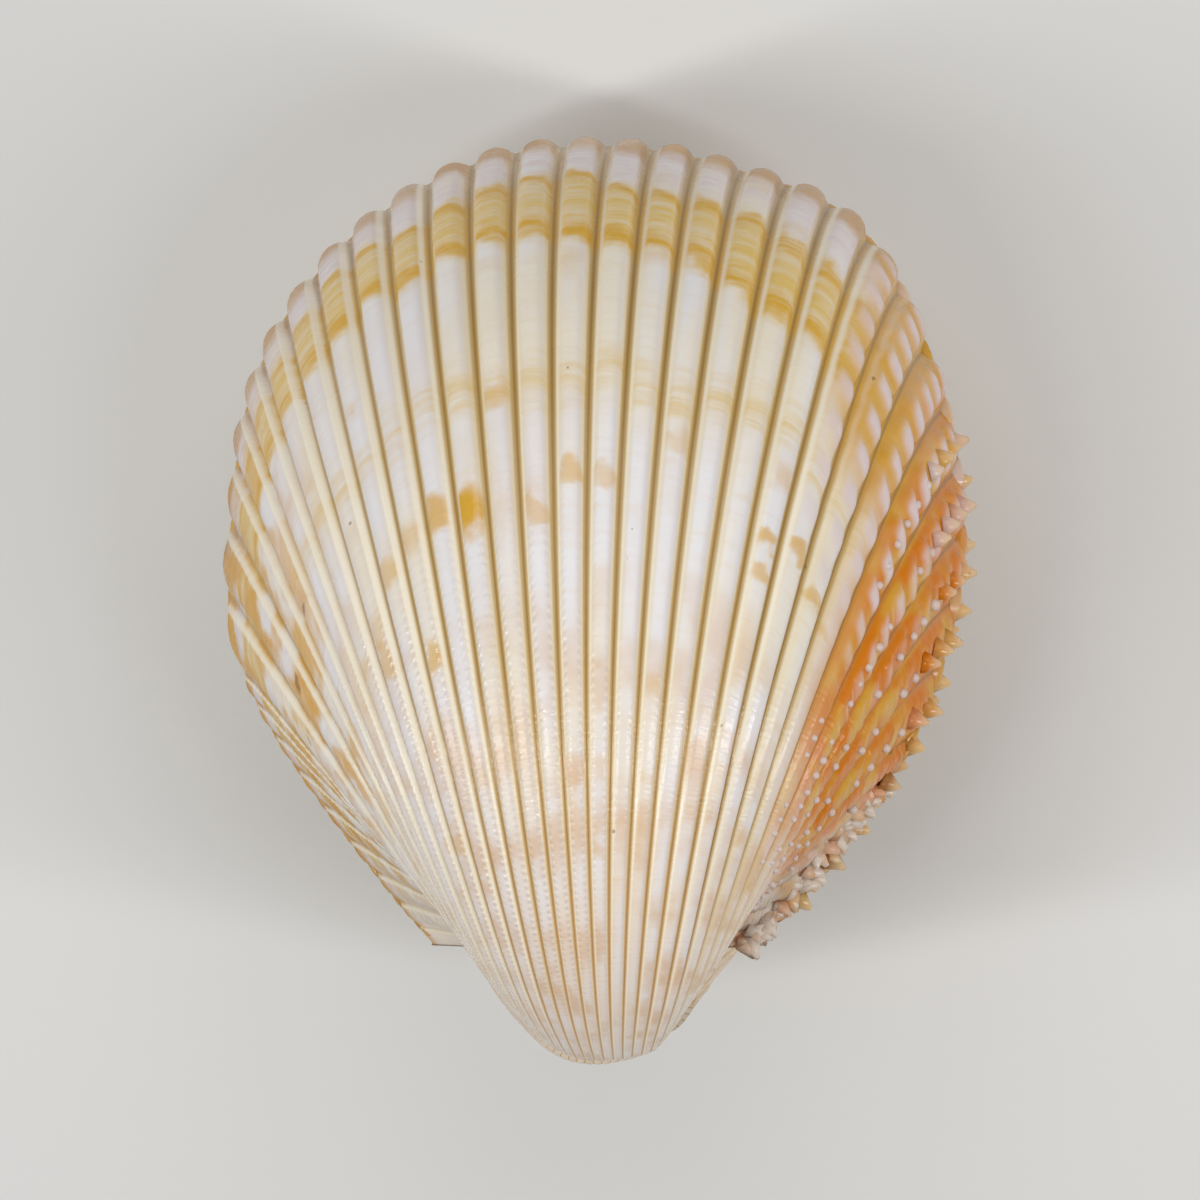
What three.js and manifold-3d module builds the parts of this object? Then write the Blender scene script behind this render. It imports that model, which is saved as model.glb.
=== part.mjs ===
// Cockle shell: a closed pair of ribbed valves held together by a ligament behind the beaks.
//
// Growth frame, in millimetres: the hinge line lies along X with the posterior end at +X,
// Y runs from the hinge to the ventral margin, and the two valves meet on the plane z = 0,
// the right valve above it and the left valve below.
//
// Each valve is the trace of its own margin. Stage 0 is the margin of today. Going back in
// time the margin swings about the hinge line and shrinks, so that a rib is a line of fixed
// place on the margin and a growth line is a line of fixed stage.
// The finished pair is laid down the way it rests on a table, on its left valve.

import * as THREE from "three";
import Module from "manifold-3d";

const wasm = await Module();
wasm.setup();

// Margin, from the anterior end of the hinge round the belly to the posterior end.
// The points are evenly spaced in rib number.
const MARGIN = [
  [-13.8, 0.3],
  [-28.4, 20.4],
  [-29.8, 36.5],
  [-27.0, 48.0],
  [-20.2, 56.9],
  [-11.0, 62.2],
  [-0.8, 63.4],
  [9.1, 61.5],
  [18.7, 56.8],
  [24.6, 44.4],
  [26.4, 30.4],
  [22.1, 15.5],
  [10.5, 0.3],
];

// Growth: how fast the margin shrinks as it swings back, per radian, at each swing angle.
const GROWTH_ANGLES = [0, 30, 60, 90, 120, 150, 160, 172];
const GROWTH_RATES = [0.31, 0.82, 0.86, 0.76, 0.7, 0.42, 3, 9];
const SIDE_POWER = 0.89; // young shells were a little broader for their height
const VALVE_GAP = 0.3; // clear space between the two valves
const WELD_STEPS = 1e4; // corners closer than one of these steps to the millimetre are one

// Ribs
const RIBS = 34;
const RIB_HEIGHT = 0.95;
const RIB_SHOULDER = 0.25; // half the groove, as a share of one rib's width

// Outside faceting, as swing angles in degrees
const OUTSIDE_STAGES = [-3, 5, 15, 26, 38, 51, 65, 80, 96, 114, 132, 149, 162, 171];

// Hollow
const HOLLOW_SCALE = 0.935;
const HOLLOW_CENTRE = new THREE.Vector2(-1.5, 31);
const HOLLOW_POINTS = 36;
const HOLLOW_STAGES = [-6, 8, 24, 42, 62, 84, 104, 118];
const HOLLOW_THICKENING = 0.06; // the wall is thicker toward the beak
const THICKENED_BY = 80; // swing angle at which the wall has its full thickness

// Spines on the posterior ribs
const FIRST_SPINED_RIB = 27;
const LAST_SPINED_RIB = 32;
const SPINE_RADIUS = 1.0;
const SPINE_HEIGHT = 2.1;
const SPINE_SINK = 0.7;
const SPINE_SPACING = 4;
const SPINES_START = 4; // swing angles between which the spines stand
const SPINES_END = 96;
const SPINE_SIDES = 4;

// Ligament, behind the beaks
const LIGAMENT_RADIUS = 0.8;
const LIGAMENT_LENGTH = 1.6;
const LIGAMENT_CENTRE = new THREE.Vector3(6.3, -1.3, 0);
const LIGAMENT_CAP_SEGMENTS = 3;
const LIGAMENT_SIDES = 10;

// How the pair lies at rest
const REST_PITCH = -19.1;
const REST_ROLL = 1.7;

const marginCurve = new THREE.SplineCurve(MARGIN.map(([x, y]) => new THREE.Vector2(x, y)));

// Size of the shell at a swing angle, as a share of its size today.
function sizeAt(degrees) {
  if (degrees <= 0) {
    return Math.exp(-GROWTH_RATES[0] * THREE.MathUtils.degToRad(degrees));
  }
  let total = 0;
  for (let i = 1; i < GROWTH_ANGLES.length; i += 1) {
    const from = GROWTH_ANGLES[i - 1];
    const to = GROWTH_ANGLES[i];
    const end = Math.min(degrees, to);
    if (end <= from) {
      break;
    }
    const rateFrom = GROWTH_RATES[i - 1];
    const rateEnd = rateFrom + ((GROWTH_RATES[i] - rateFrom) * (end - from)) / (to - from);
    total += 0.5 * (rateFrom + rateEnd) * THREE.MathUtils.degToRad(end - from);
  }
  return Math.exp(-total);
}

// A point of the margin plane (x along the hinge, y away from it) carried back to a swing angle.
function grow(point, degrees, size) {
  const swing = THREE.MathUtils.degToRad(degrees);
  const reach = point.y * size;
  return new THREE.Vector3(
    point.x * size ** SIDE_POWER,
    reach * Math.cos(swing),
    reach * Math.sin(swing),
  );
}

// A point on the margin at a place from 0 to 1, raised outward by a height.
function marginPoint(place, height) {
  const inside = THREE.MathUtils.clamp(place, 0, 1);
  const point = marginCurve.getPoint(inside);
  const tangent = marginCurve.getTangent(inside);
  return point.add(new THREE.Vector2(-tangent.y, tangent.x).multiplyScalar(height));
}

// Places and heights round the ribbed margin: a groove, then the two shoulders of a rib.
// A shift of half a rib gives the other valve, whose ribs fit between these.
function ribbedMargin(shift) {
  const points = [];
  for (let rib = shift === 0 ? 0 : -1; rib < RIBS; rib += 1) {
    const profile = [
      [0, 0],
      [RIB_SHOULDER, RIB_HEIGHT],
      [1 - RIB_SHOULDER, RIB_HEIGHT],
    ];
    for (const [phase, height] of profile) {
      const place = (rib + shift + phase) / RIBS;
      if (place >= 0 && place < 1) {
        points.push(marginPoint(place, height));
      }
    }
  }
  points.push(marginPoint(1, 0));
  return points;
}

function hollowMargin() {
  const points = [];
  for (let i = 0; i < HOLLOW_POINTS; i += 1) {
    const point = marginCurve.getPoint(i / (HOLLOW_POINTS - 1));
    points.push(point.sub(HOLLOW_CENTRE).multiplyScalar(HOLLOW_SCALE).add(HOLLOW_CENTRE));
  }
  return points;
}

// A closed horn: one ring of the given outline at each swing angle, with flat ends.
function horn(outline, stages, sizeOf) {
  const count = outline.length;
  const rings = stages.map((degrees) => {
    return outline.map((point) => grow(point, degrees, sizeOf(degrees)));
  });
  const triangles = [];
  for (let ring = 0; ring + 1 < rings.length; ring += 1) {
    for (let i = 0; i < count; i += 1) {
      const next = (i + 1) % count;
      const a = ring * count + i;
      const b = ring * count + next;
      triangles.push([a, b + count, b], [a, a + count, b + count]);
    }
  }
  const last = (rings.length - 1) * count;
  const outlineArea = THREE.ShapeUtils.area(outline);
  for (const [a, b, c] of THREE.ShapeUtils.triangulateShape(outline, [])) {
    const sameTurn = THREE.ShapeUtils.area([outline[a], outline[b], outline[c]]) * outlineArea > 0;
    const [second, third] = sameTurn ? [b, c] : [c, b];
    triangles.push([a, second, third], [last + a, last + third, last + second]);
  }
  return toSolid(rings.flat(), triangles);
}

function toSolid(vertices, triangles) {
  const vertProperties = new Float32Array(vertices.flatMap((v) => v.toArray()));
  const triVerts = new Uint32Array(triangles.flat());
  const mesh = new wasm.Mesh({ numProp: 3, vertProperties, triVerts });
  const solid = new wasm.Manifold(mesh);
  if (solid.volume() > 0) {
    return solid;
  }
  const turned = new Uint32Array(triangles.flatMap(([a, b, c]) => [a, c, b]));
  return new wasm.Manifold(new wasm.Mesh({ numProp: 3, vertProperties, triVerts: turned }));
}

function geometryToSolid(geometry) {
  const position = geometry.getAttribute("position");
  const keys = new Map();
  const vertices = [];
  const remap = [];
  for (let i = 0; i < position.count; i += 1) {
    const vertex = new THREE.Vector3().fromBufferAttribute(position, i);
    const key = vertex.toArray().map((value) => Math.round(value * WELD_STEPS)).join();
    if (!keys.has(key)) {
      keys.set(key, vertices.length);
      vertices.push(vertex);
    }
    remap.push(keys.get(key));
  }
  const index = geometry.getIndex();
  const triangles = [];
  for (let i = 0; i < index.count; i += 3) {
    const corners = [0, 1, 2].map((step) => remap[index.getX(i + step)]);
    if (new Set(corners).size === 3) {
      triangles.push(corners);
    }
  }
  return toSolid(vertices, triangles);
}

// One row of spines along a rib, closer together and smaller toward the beak.
function spineRow(place) {
  const spines = [];
  let travelled = 0;
  let before = grow(marginPoint(place, RIB_HEIGHT), 0, 1);
  for (let degrees = 1; degrees <= SPINES_END; degrees += 1) {
    const size = sizeAt(degrees);
    const crest = grow(marginPoint(place, RIB_HEIGHT), degrees, size);
    travelled += crest.distanceTo(before) / size;
    const back = crest.clone().sub(before).normalize();
    before = crest;
    if (travelled < SPINE_SPACING || degrees < SPINES_START) {
      continue;
    }
    travelled = 0;
    const groove = grow(marginPoint(place, 0), degrees, size);
    const outward = crest.clone().sub(groove);
    outward.addScaledVector(back, -outward.dot(back)).normalize();
    const spine = new THREE.ConeGeometry(SPINE_RADIUS * size, SPINE_HEIGHT * size, SPINE_SIDES);
    const turn = new THREE.Quaternion().setFromUnitVectors(new THREE.Vector3(0, 1, 0), outward);
    spine.applyQuaternion(turn);
    const lift = (0.5 * SPINE_HEIGHT - SPINE_SINK) * size;
    spine.translate(...crest.addScaledVector(outward, lift).toArray());
    spines.push(geometryToSolid(spine));
  }
  return spines;
}

function valve(shift) {
  const outside = horn(ribbedMargin(shift), OUTSIDE_STAGES, sizeAt);
  const hollow = horn(hollowMargin(), HOLLOW_STAGES, (degrees) => {
    const thickened = Math.max(0, Math.min(degrees / THICKENED_BY, 1));
    return sizeAt(degrees) * (1 - HOLLOW_THICKENING * thickened);
  });
  const spines = [];
  for (let rib = FIRST_SPINED_RIB; rib <= LAST_SPINED_RIB; rib += 1) {
    spines.push(...spineRow((rib + 0.5 + shift) / RIBS));
  }
  return outside
    .add(wasm.Manifold.union(spines))
    .subtract(hollow)
    .trimByPlane([0, 0, 1], VALVE_GAP / 2);
}

function ligament() {
  const capsule = new THREE.CapsuleGeometry(
    LIGAMENT_RADIUS,
    LIGAMENT_LENGTH,
    LIGAMENT_CAP_SEGMENTS,
    LIGAMENT_SIDES,
  );
  capsule.rotateZ(Math.PI / 2);
  capsule.translate(...LIGAMENT_CENTRE.toArray());
  return geometryToSolid(capsule);
}

function toMesh(solid, name, material) {
  const { vertProperties, triVerts } = solid.getMesh();
  const geometry = new THREE.BufferGeometry();
  geometry.setAttribute("position", new THREE.BufferAttribute(vertProperties, 3));
  geometry.setIndex(new THREE.BufferAttribute(triVerts, 1));
  const mesh = new THREE.Mesh(geometry, material);
  mesh.name = name;
  return mesh;
}

const shellMaterial = new THREE.MeshStandardMaterial({
  color: new THREE.Color(0.86, 0.78, 0.66),
  roughness: 0.35,
  metalness: 0,
});
const leftMaterial = shellMaterial.clone();
const ligamentMaterial = new THREE.MeshStandardMaterial({
  color: new THREE.Color(0.2, 0.11, 0.06),
  roughness: 0.6,
  metalness: 0,
});

const rest = new THREE.Matrix4().makeRotationFromEuler(new THREE.Euler(
  THREE.MathUtils.degToRad(REST_PITCH),
  THREE.MathUtils.degToRad(REST_ROLL),
  0,
));
const pieces = [
  [valve(0), "right_valve", shellMaterial],
  [valve(0.5).mirror([0, 0, 1]), "left_valve", leftMaterial],
  [ligament(), "ligament", ligamentMaterial],
].map(([solid, name, material]) => [solid.transform(rest.toArray()), name, material]);

// The lowest point lies on the table, with the middle of the pair over the origin.
const extent = new THREE.Box3();
for (const [solid] of pieces) {
  const { min, max } = solid.boundingBox();
  extent.expandByPoint(new THREE.Vector3(...min));
  extent.expandByPoint(new THREE.Vector3(...max));
}
const middle = extent.getCenter(new THREE.Vector3());

const shell = new THREE.Group();
shell.name = "cockle_shell";
for (const [solid, name, material] of pieces) {
  const placed = solid.translate([-middle.x, -middle.y, -extent.min.z]);
  shell.add(toMesh(placed, name, material));
}

export default shell;
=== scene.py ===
"""A closed cockle shell: two ribbed valves and the ligament behind their beaks.

The shell is built in its growth frame, in millimetres: the hinge line lies along X with the
posterior end at +X, Y runs from the hinge to the ventral margin, and the right valve stands
on +Z. A rib is a line of fixed place on the margin and a growth line is a line of fixed swing
angle about the hinge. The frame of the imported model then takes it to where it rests.
"""

from __future__ import annotations

import logging
import math
import random
from bisect import bisect_left
from dataclasses import dataclass, field
from enum import Enum

import bmesh
import bpy
from mathutils import Matrix, Vector, noise

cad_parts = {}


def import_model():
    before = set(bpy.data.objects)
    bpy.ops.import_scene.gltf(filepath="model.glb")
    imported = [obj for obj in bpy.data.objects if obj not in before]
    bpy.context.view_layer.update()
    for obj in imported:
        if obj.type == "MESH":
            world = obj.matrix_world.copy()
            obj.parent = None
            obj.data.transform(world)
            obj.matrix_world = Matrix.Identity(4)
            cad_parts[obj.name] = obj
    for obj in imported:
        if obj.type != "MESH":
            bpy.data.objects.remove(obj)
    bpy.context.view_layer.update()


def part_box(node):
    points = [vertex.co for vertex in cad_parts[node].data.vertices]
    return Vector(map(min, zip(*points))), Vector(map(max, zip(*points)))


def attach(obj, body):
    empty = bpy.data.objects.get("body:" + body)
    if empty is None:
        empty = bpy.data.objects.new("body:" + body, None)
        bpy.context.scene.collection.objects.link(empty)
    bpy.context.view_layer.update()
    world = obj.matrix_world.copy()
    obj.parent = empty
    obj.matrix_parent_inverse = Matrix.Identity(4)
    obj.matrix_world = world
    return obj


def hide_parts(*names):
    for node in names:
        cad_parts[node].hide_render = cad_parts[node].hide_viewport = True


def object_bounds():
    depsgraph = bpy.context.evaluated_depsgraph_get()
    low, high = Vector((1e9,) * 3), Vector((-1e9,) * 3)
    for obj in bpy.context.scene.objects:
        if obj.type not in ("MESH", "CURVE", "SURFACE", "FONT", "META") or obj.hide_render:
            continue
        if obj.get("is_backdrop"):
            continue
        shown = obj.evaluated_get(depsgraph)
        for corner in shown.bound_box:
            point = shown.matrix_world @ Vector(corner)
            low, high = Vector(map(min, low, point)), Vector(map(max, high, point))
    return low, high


LOG = logging.getLogger("cockle_shell")
MM = 0.001
RIBS = 34
HALF_TURN = 180.0  # swing angle at the top of the growth map
FRONT_FOLD = (3.0, 3.0)  # ribs before this one are split into this many
REAR_FOLD = (31.0, 2.0)  # ribs after this one are split into this many
CELLS_PER_DEGREE = 0.25  # pale cells along a rear rib
CELL_STEP = 0.37  # how far a rib's cells stand ahead of the last rib's
SCALE_SPACING = 2.4  # degrees between the scales of a rear rib
SCALE_STEP = 0.43  # how far a rib's scales stand ahead of the last rib's
LIGAMENT_CENTRE = (6.3, -1.3, 0.0)
Colour = tuple[int, int, int]
Output = bpy.types.NodeSocket


class Side(Enum):
    """The two valves of the pair."""

    RIGHT = "right"
    LEFT = "left"


class Knob(Enum):
    """What stands on a rib, as the value that marks it on the mesh."""

    PLAIN_FLAKE = 0.3
    PALE_FLAKE = 0.75
    TOOTH_BASE = 0.2
    TOOTH_TIP = 0.45
    BEAD = 1.0


def smooth(low: float, high: float, value: float) -> float:
    """Ease from 0 to 1 between two values.

    Args:
        low: Value at which the result is 0.
        high: Value at which the result is 1.
        value: The value to test.

    Returns:
        A share between 0 and 1.
    """
    share = min(max((value - low) / (high - low), 0.0), 1.0)
    return share * share * (3.0 - 2.0 * share)


def noise_at(x: float, y: float, seed: float) -> float:
    """Smooth noise between about -1 and 1 at a point of a plane, fixed by its seed."""
    return noise.noise(Vector((x, y, seed)))


def finish_mesh(mesh: bmesh.types.BMesh, name: str) -> bpy.types.Object:
    """Turn a modelled mesh into a smooth object of the scene.

    Args:
        mesh: The modelled mesh, which is freed.
        name: Name of the object.

    Returns:
        The object.
    """
    data = bpy.data.meshes.new(name)
    mesh.to_mesh(data)
    mesh.free()
    data.shade_smooth()
    made = bpy.data.objects.new(name, data)
    bpy.context.collection.objects.link(made)
    return made


@dataclass(frozen=True)
class Growth:
    """The growth law that both valves share: the margin of today and how it shrank.

    The margin's points, the first six rates and the side power are a numerical fit's output,
    rounded.
    """

    margin: tuple[tuple[float, float], ...] = (
        (-13.8, 0.3), (-28.4, 20.4), (-29.8, 36.5), (-27.0, 48.0), (-20.2, 56.9),
        (-11.0, 62.2), (-0.8, 63.4), (9.1, 61.5), (18.7, 56.8), (24.6, 44.4),
        (26.4, 30.4), (22.1, 15.5), (10.5, 0.3),
    )
    angles: tuple[float, ...] = (0, 30, 60, 90, 120, 150, 160, 172)
    rates: tuple[float, ...] = (0.31, 0.82, 0.86, 0.76, 0.7, 0.42, 3, 9)
    side_power: float = 0.89

    def size(self, degrees: float) -> float:
        """Size of the shell at a swing angle.

        Args:
            degrees: Swing angle back from the margin of today.

        Returns:
            Size as a share of today's.
        """
        if degrees <= 0:
            return math.exp(-self.rates[0] * math.radians(degrees))
        total = 0.0
        for i in range(1, len(self.angles)):
            start, stop = self.angles[i - 1], self.angles[i]
            end = min(degrees, stop)
            if end <= start:
                break
            rate_end = self.rates[i - 1] + (self.rates[i] - self.rates[i - 1]) * (
                end - start) / (stop - start)
            total += 0.5 * (self.rates[i - 1] + rate_end) * math.radians(end - start)
        return math.exp(-total)

    def outline(self, place: float, height: float = 0.0) -> Vector:
        """A point of today's margin.

        Args:
            place: Share of the way round, from the anterior to the posterior end of the hinge.
            height: Distance outward from the plain margin.

        Returns:
            The point in the plane of the margin.
        """
        along = min(max(place, 0.0), 1.0) * (len(self.margin) - 1)
        i = min(int(along), len(self.margin) - 2)
        t = along - i
        last = len(self.margin) - 1
        corners = [Vector(self.margin[k]) for k in (
            i if i == 0 else i - 1, i, i + 1, last if i + 2 > last else i + 2)]
        a, b, c, d = corners
        v0, v1 = (c - a) * 0.5, (d - b) * 0.5
        cubic = 2.0 * b - 2.0 * c + v0 + v1
        square = -3.0 * b + 3.0 * c - 2.0 * v0 - v1
        point = ((cubic * t + square) * t + v0) * t + b
        tangent = ((3.0 * cubic * t + 2.0 * square) * t + v0).normalized()
        return point + Vector((-tangent.y, tangent.x)) * height

    def carry(self, point: Vector, degrees: float, size: float) -> Vector:
        """Carry a point of the margin plane back to a swing angle.

        Args:
            point: The point in the plane of the margin.
            degrees: The swing angle.
            size: Size at that angle.

        Returns:
            The point in the growth frame, in millimetres.
        """
        swing = math.radians(degrees)
        reach = point.y * size
        return Vector((point.x * size ** self.side_power,
                       reach * math.cos(swing), reach * math.sin(swing)))


@dataclass(frozen=True)
class RestPose:
    """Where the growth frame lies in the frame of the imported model."""

    pitch: float = -19.1
    roll: float = 1.7

    def matrix(self) -> Matrix:
        """Find the move from the growth frame, in metres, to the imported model's frame.

        Returns:
            The move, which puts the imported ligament's middle where the growth frame has it.
        """
        turn = Matrix.Rotation(math.radians(self.pitch), 4, "X") @ Matrix.Rotation(
            math.radians(self.roll), 4, "Y")
        low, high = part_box("ligament")
        middle = (Vector(low) + Vector(high)) * 0.5
        shift = middle - turn @ (Vector(LIGAMENT_CENTRE) * MM)
        return Matrix.Translation(shift) @ turn


class NodeBench:
    """Places shader nodes in a tree and joins them."""

    def __init__(self, tree: bpy.types.NodeTree) -> None:
        """Keep the tree that the nodes go into."""
        self.tree = tree

    def node(self, kind: str, **settings: object) -> bpy.types.Node:
        """Place a node and set its properties.

        Args:
            kind: Type of the node.
            settings: Its properties by name.

        Returns:
            The node.
        """
        made = self.tree.nodes.new(kind)
        for name, value in settings.items():
            setattr(made, name, value)
        return made

    def feed(self, socket: Output, value: object) -> None:
        """Join an output to a socket, or set the socket to a value.

        Args:
            socket: The input to feed.
            value: An output, a plain value, or None to leave the input alone.
        """
        if isinstance(value, bpy.types.NodeSocket):
            self.tree.links.new(value, socket)
        elif value is not None:
            socket.default_value = value

    def times(self, a: object, b: object) -> Output:
        """Multiply two numbers or outputs."""
        return self.math("MULTIPLY", a, b)

    def plus(self, a: object, b: object) -> Output:
        """Add two numbers or outputs."""
        return self.math("ADD", a, b)

    def minus(self, a: object, b: object) -> Output:
        """Take the second number or output from the first."""
        return self.math("SUBTRACT", a, b)

    def away(self, value: object, middle: object) -> Output:
        """How far a number is from a middle, whichever the side."""
        return self.math("ABSOLUTE", self.minus(value, middle))

    def shaken(self, value: object, grain: Output, reach: float) -> Output:
        """Move a number up and down by a noise whose middle is a half."""
        return self.math("MULTIPLY_ADD", self.minus(grain, 0.5), reach, value)

    def math(self, operation: str, a: object, b: object = None, c: object = None) -> Output:
        """Work out a number over the surface.

        Args:
            operation: Name of the operation.
            a: First number or output.
            b: Second number or output.
            c: Third number or output.

        Returns:
            The output with the result.
        """
        made = self.node("ShaderNodeMath", operation=operation)
        for socket, value in zip(made.inputs, (a, b, c)):
            self.feed(socket, value)
        return made.outputs[0]

    def band(self, value: object, low: object, high: object, start: float = 0.0,
             stop: float = 1.0) -> Output:
        """Ease a number from one range to another.

        Args:
            value: The number or output.
            low: Start of its range.
            high: End of its range.
            start: Result at the start.
            stop: Result at the end.

        Returns:
            The output with the eased number.
        """
        made = self.node("ShaderNodeMapRange", interpolation_type="SMOOTHSTEP")
        for socket, number in zip(made.inputs, (value, low, high, start, stop)):
            self.feed(socket, number)
        return made.outputs[0]

    def hump(self, value: object, centre: float, half: float, soft: float) -> Output:
        """A mask that is 1 near a centre and 0 away from it.

        Args:
            value: The number or output.
            centre: Middle of the hump.
            half: Half its width.
            soft: Width of its soft edge.

        Returns:
            The output with the mask.
        """
        return self.band(self.away(value, centre), half - soft, half + soft, 1.0, 0.0)

    def mix(self, amount: object, a: object, b: object) -> Output:
        """Mix two colours.

        Args:
            amount: Share of the second colour.
            a: First colour or output.
            b: Second colour or output.

        Returns:
            The output with the colour.
        """
        made = self.node("ShaderNodeMix", data_type="RGBA")
        for socket, value in ((0, amount), (6, rgba(a)), (7, rgba(b))):
            self.feed(made.inputs[socket], value)
        return made.outputs[2]

    def join(self, x: object, y: object, z: object = 0.0) -> Output:
        """Make a vector from three numbers or outputs.

        Args:
            x: Its first part.
            y: Its second part.
            z: Its third part.

        Returns:
            The output with the vector.
        """
        made = self.node("ShaderNodeCombineXYZ")
        for socket, value in zip(made.inputs, (x, y, z)):
            self.feed(socket, value)
        return made.outputs[0]

    def speckle(self, vector: object, scale: float, detail: float = 2.0,
                rough: float = 0.5) -> Output:
        """Noise over the surface.

        Args:
            vector: Where to read it.
            scale: Its scale.
            detail: Its octaves.
            rough: Strength of the finer octaves.

        Returns:
            The output with the noise.
        """
        made = self.node("ShaderNodeTexNoise")
        for name, value in (("Vector", vector), ("Scale", scale), ("Detail", detail),
                            ("Roughness", rough)):
            self.feed(made.inputs[name], value)
        return made.outputs["Fac"]

    def surface(self, colour: Output, roughness: Output, height: Output, strength: float,
                distance: float) -> bpy.types.Node:
        """Put a shader over a bump and join it to the material's output.

        Args:
            colour: Its base colour.
            roughness: Its roughness.
            height: Its relief.
            strength: Strength of the bump.
            distance: How much one unit of the relief stands for, in metres.

        Returns:
            The shader's node.
        """
        bump = self.node("ShaderNodeBump")
        for name, value in (("Strength", strength), ("Distance", distance), ("Height", height)):
            self.feed(bump.inputs[name], value)
        shader = self.node("ShaderNodeBsdfPrincipled")
        for name, value in (("Base Color", colour), ("Roughness", roughness),
                            ("Normal", bump.outputs[0])):
            self.feed(shader.inputs[name], value)
        self.feed(self.node("ShaderNodeOutputMaterial").inputs["Surface"], shader.outputs[0])
        return shader


def start_material(name: str) -> tuple[bpy.types.Material, NodeBench]:
    """Start a material whose node tree is empty.

    Args:
        name: Name of the material.

    Returns:
        The material and the bench of its tree.
    """
    made = bpy.data.materials.new(name)
    made.use_nodes = True
    made.node_tree.nodes.clear()
    return made, NodeBench(made.node_tree)


def rgba(colour: object) -> object:
    """Turn a colour of three numbers from 0 to 255 into a linear RGBA.

    Args:
        colour: The colour, or an output, which is left as it is.

    Returns:
        What a colour socket takes.
    """
    if isinstance(colour, bpy.types.NodeSocket):
        return colour
    return (*[(c / 255.0) ** 2.2 for c in colour], 1.0)


@dataclass(frozen=True)
class ShellPalette:
    """Colours of the shell, each part from 0 to 255."""

    body: Colour = (240, 237, 238)
    cream: Colour = (246, 235, 212)
    # Painted highlight on the lit wall of each rib
    painted_wall_highlight: Colour = (254, 246, 226)
    groove: Colour = (196, 160, 92)
    # Painted shade in the floors of the grooves
    depth: Colour = (140, 104, 54)
    ochre: Colour = (230, 192, 96)
    gold: Colour = (222, 168, 30)
    orange: Colour = (220, 126, 14)
    yellow: Colour = (222, 166, 62)
    rim: Colour = (198, 138, 26)
    # Cream of the rib sides, partly the shell's own colour and partly painted light
    shoulder_cream_and_light: Colour = (243, 226, 184)
    tan: Colour = (230, 190, 122)
    peach: Colour = (240, 222, 208)
    blush: Colour = (220, 174, 124)
    lilac: Colour = (230, 212, 214)
    bead: Colour = (222, 208, 204)
    tooth: Colour = (236, 202, 158)
    # Painted shade on the rounded sides of the ribs
    painted_rib_shade: Colour = (208, 198, 204)
    crust: Colour = (232, 222, 210)
    speck: Colour = (132, 88, 52)


@dataclass(frozen=True)
class Blotch:
    """A stain in the middle of one rib: where it is, how far it reaches and how strong it is."""

    rib: int
    stage: int
    across: float
    along: float
    strength: float

    def mask(self, b: NodeBench, rib: Output, stage: Output) -> Output:
        """Make the stain's mask.

        Args:
            b: The group's bench.
            rib: Rib number over the surface.
            stage: Swing angle over the surface.

        Returns:
            The output with the mask.
        """
        side = b.math("DIVIDE", b.minus(rib, self.rib + 0.5), self.across)
        way = b.math("DIVIDE", b.minus(stage, float(self.stage)), self.along)
        reach = b.plus(b.times(side, side), b.times(way, way))
        return b.band(reach, 0.1, 2.0, self.strength, 0.0)


# The ribs and stages of these marks were worked out by a separate program and rounded.
YELLOW_BLOTCHES = (
    Blotch(12, 41, 0.44, 1.6, 0.75), Blotch(13, 42, 0.42, 2.2, 0.95), Blotch(16, 40, 0.36, 0.9, 0.6),
    Blotch(17, 40, 0.36, 0.9, 0.45), Blotch(15, 43, 0.34, 0.9, 0.45), Blotch(14, 33, 0.4, 1.2, 0.4),
    Blotch(10, 43, 0.34, 1.6, 0.5), Blotch(9, 50, 0.34, 2.0, 0.55), Blotch(11, 53, 0.34, 1.6, 0.65),
    Blotch(10, 75, 0.8, 1.6, 0.35), Blotch(22, 42, 0.4, 0.9, 0.7), Blotch(23, 40, 0.34, 0.9, 0.7),
    Blotch(22, 45, 0.34, 0.9, 0.6), Blotch(24, 42, 0.7, 0.8, 0.6), Blotch(5, 59, 0.8, 3.0, 0.4),
    Blotch(19, 36, 0.36, 1.2, 0.35),
)
CHALKY_SCARS = (
    Blotch(16, 68, 0.34, 2.4, 0.5), Blotch(17, 59, 0.34, 2.6, 0.4), Blotch(21, 66, 0.36, 3.2, 0.5),
    Blotch(6, 33, 0.3, 1.2, 0.5),
)
BROWN_PITS = (
    Blotch(6, 34, 0.14, 0.5, 0.7), Blotch(4, 32, 0.2, 0.8, 0.7), Blotch(3, 33, 0.12, 0.5, 0.6),
)


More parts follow.
